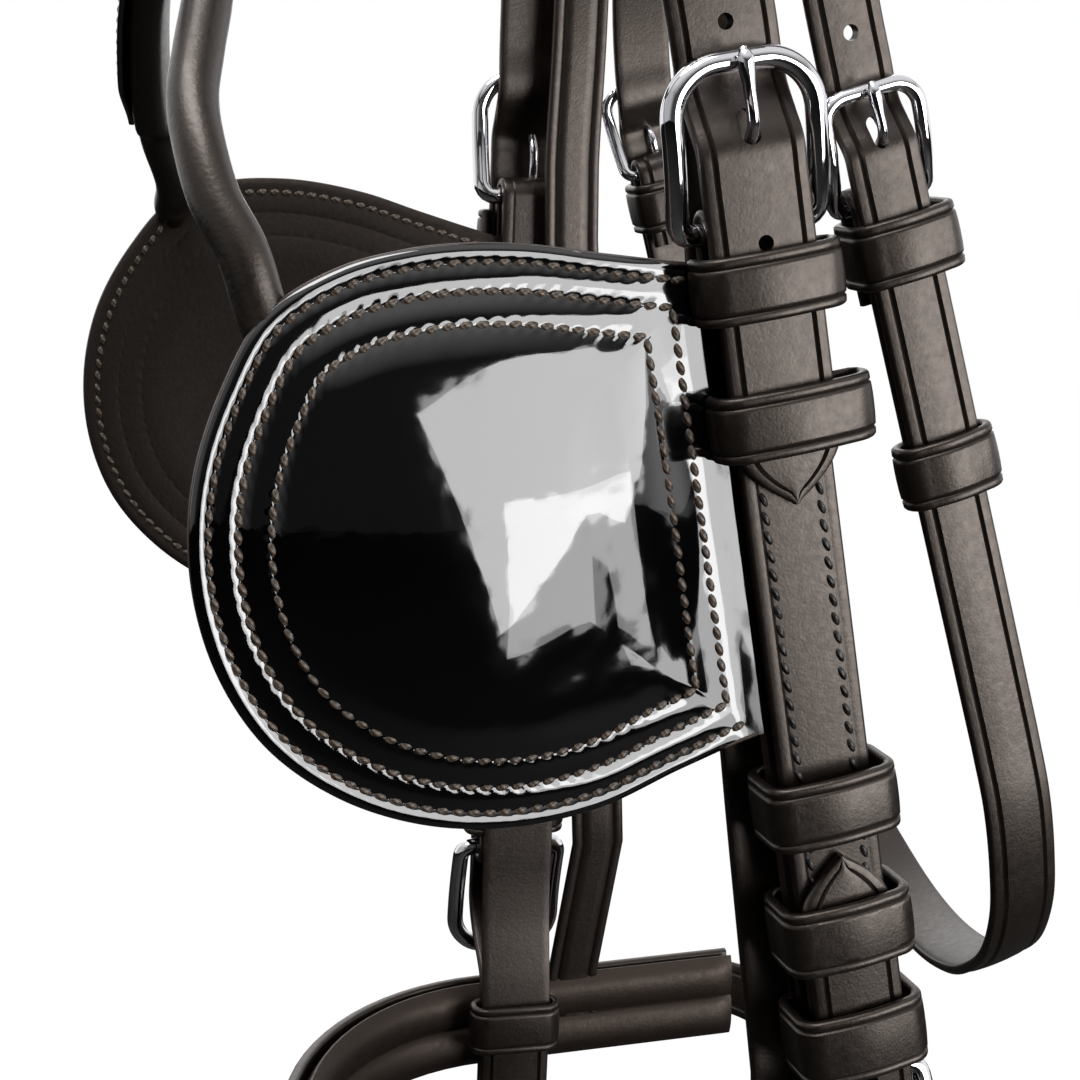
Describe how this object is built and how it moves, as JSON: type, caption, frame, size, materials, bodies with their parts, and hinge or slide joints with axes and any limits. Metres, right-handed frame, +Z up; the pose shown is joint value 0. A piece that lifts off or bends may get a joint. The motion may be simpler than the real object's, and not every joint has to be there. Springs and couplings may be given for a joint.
{
  "type": "driving bridle",
  "caption": "Horse's leather driving bridle with patent blinkers, padded noseband, throatlatch and buckled cheeks, hanging from its crown.",
  "frame": {"origin": "middle of the underside of the crown pad, where the bridle lies on the poll", "axes": "+Z up, with the cheeks hanging down; +X to the horse's left, the near side; -Y the way the horse faces"},
  "size_m": [0.1976, 0.2674, 0.4983],
  "materials": {
    "bridle_leather": "waxed, satin",
    "rolled_leather": "waxed, satin",
    "leather_edge": "dyed and burnished",
    "lining_leather": "soft, matt",
    "patent_leather": "patent, mirror gloss",
    "blinker_steel": "plain sheet",
    "chrome_plate": "polished"
  },
  "bodies": {
    "bridle": {"browband": "patent_leather", "browband_lining": "lining_leather", "chin_strap": "bridle_leather", "crown_pad": "lining_leather", "crown_strap": "bridle_leather", "far_bit_strap": "bridle_leather", "far_browband_loop": "bridle_leather", "far_cheek_keeper_1": "bridle_leather", "far_cheek_keeper_2": "bridle_leather", "far_cheek_keeper_3": "bridle_leather", "far_cheek_keeper_4": "bridle_leather", "far_cheek_keeper_5": "bridle_leather", "far_cheek_lining": "leather_edge", "far_cheek_strap": "bridle_leather", "far_lower_buckle_frame": "chrome_plate", "far_noseband_loop": "bridle_leather", "far_stay_arm": "rolled_leather", "far_throat_buckle_frame": "chrome_plate", "far_throat_keeper": "bridle_leather", "far_upper_buckle_frame": "chrome_plate", "near_bit_strap": "bridle_leather", "near_browband_loop": "bridle_leather", "near_cheek_keeper_1": "bridle_leather", "near_cheek_keeper_2": "bridle_leather", "near_cheek_keeper_3": "bridle_leather", "near_cheek_keeper_4": "bridle_leather", "near_cheek_keeper_5": "bridle_leather", "near_cheek_lining": "leather_edge", "near_cheek_strap": "bridle_leather", "near_lower_buckle_frame": "chrome_plate", "near_noseband_loop": "bridle_leather", "near_stay_arm": "rolled_leather", "near_throat_buckle_frame": "chrome_plate", "near_throat_keeper": "bridle_leather", "near_upper_buckle_frame": "chrome_plate", "noseband_buckle_frame": "chrome_plate", "noseband_headstrap": "bridle_leather", "noseband_keeper": "bridle_leather", "noseband_padding": "lining_leather", "noseband_strap": "bridle_leather", "stay_billet": "bridle_leather", "stay_buckle_frame": "chrome_plate", "stay_strap": "bridle_leather", "throatlatch_strap": "bridle_leather"},
    "near_upper_tongue": {"near_upper_buckle_tongue": "chrome_plate"},
    "near_lower_tongue": {"near_lower_buckle_tongue": "chrome_plate"},
    "near_throat_tongue": {"near_throat_buckle_tongue": "chrome_plate"},
    "far_upper_tongue": {"far_upper_buckle_tongue": "chrome_plate"},
    "far_lower_tongue": {"far_lower_buckle_tongue": "chrome_plate"},
    "far_throat_tongue": {"far_throat_buckle_tongue": "chrome_plate"},
    "stay_tongue": {"stay_buckle_tongue": "chrome_plate"},
    "noseband_tongue": {"noseband_buckle_tongue": "chrome_plate"},
    "near_blinker": {"near_blinker_cover": "patent_leather", "near_blinker_plate": "blinker_steel", "near_blinker_lining": "lining_leather"},
    "far_blinker": {"far_blinker_cover": "patent_leather", "far_blinker_plate": "blinker_steel", "far_blinker_lining": "lining_leather"},
    "near_runner": {"near_throat_runner": "bridle_leather"},
    "far_runner": {"far_throat_runner": "bridle_leather"}
  },
  "joints": [
    {"name": "near_upper_tongue_hinge", "type": "hinge", "parent": "bridle", "child": "near_upper_tongue", "pos_m": [0.085, 0.001, -0.1927], "axis": [0, 0.9877, 0.1564], "range_deg": [0, 3.8]},
    {"name": "near_lower_tongue_hinge", "type": "hinge", "parent": "bridle", "child": "near_lower_tongue", "pos_m": [0.085, 0.02986, -0.37493], "axis": [0, -0.9877, -0.1564], "range_deg": [0, 3.8]},
    {"name": "near_throat_tongue_hinge", "type": "hinge", "parent": "bridle", "child": "near_throat_tongue", "pos_m": [0.0795, 0.0313, -0.1883], "axis": [0, 0.9636, 0.2672], "range_deg": [0, 3.8]},
    {"name": "far_upper_tongue_hinge", "type": "hinge", "parent": "bridle", "child": "far_upper_tongue", "pos_m": [-0.085, 0.005, -0.1935], "axis": [0, -0.9992, 0.0407], "range_deg": [0, 3.8]},
    {"name": "far_lower_tongue_hinge", "type": "hinge", "parent": "bridle", "child": "far_lower_tongue", "pos_m": [-0.085, -0.0025, -0.37785], "axis": [0, 0.9992, -0.0407], "range_deg": [0, 3.8]},
    {"name": "far_throat_tongue_hinge", "type": "hinge", "parent": "bridle", "child": "far_throat_tongue", "pos_m": [-0.0795, 0.0395, -0.186], "axis": [0, -0.9703, -0.2419], "range_deg": [0, 3.8]},
    {"name": "stay_tongue_hinge", "type": "hinge", "parent": "bridle", "child": "stay_tongue", "pos_m": [0, -0.068, -0.066], "axis": [1, 0, 0], "range_deg": [0, 3.8]},
    {"name": "noseband_tongue_hinge", "type": "hinge", "parent": "bridle", "child": "noseband_tongue", "pos_m": [0.0842, 0.065, -0.4308], "axis": [0, 0, -1], "range_deg": [0, 3.8]},
    {"name": "near_blinker_flare", "type": "hinge", "parent": "bridle", "child": "near_blinker", "pos_m": [0.085, -0.01145, -0.19467], "axis": [0, -0.1564, 0.9877], "range_deg": [-5, 5], "deforming": ["near_stay_arm"]},
    {"name": "far_blinker_flare", "type": "hinge", "parent": "bridle", "child": "far_blinker", "pos_m": [-0.085, -0.00781, -0.19848], "axis": [0, -0.0407, -0.9992], "range_deg": [-5, 5], "deforming": ["far_stay_arm"]},
    {"name": "near_runner_slide", "type": "slide", "parent": "bridle", "child": "near_runner", "axis": [0, 0.2672, -0.9636], "range_m": [-0.024, 0.018]},
    {"name": "far_runner_slide", "type": "slide", "parent": "bridle", "child": "far_runner", "axis": [0, 0.2419, -0.9703], "range_m": [-0.024, 0.018]}
  ]
}
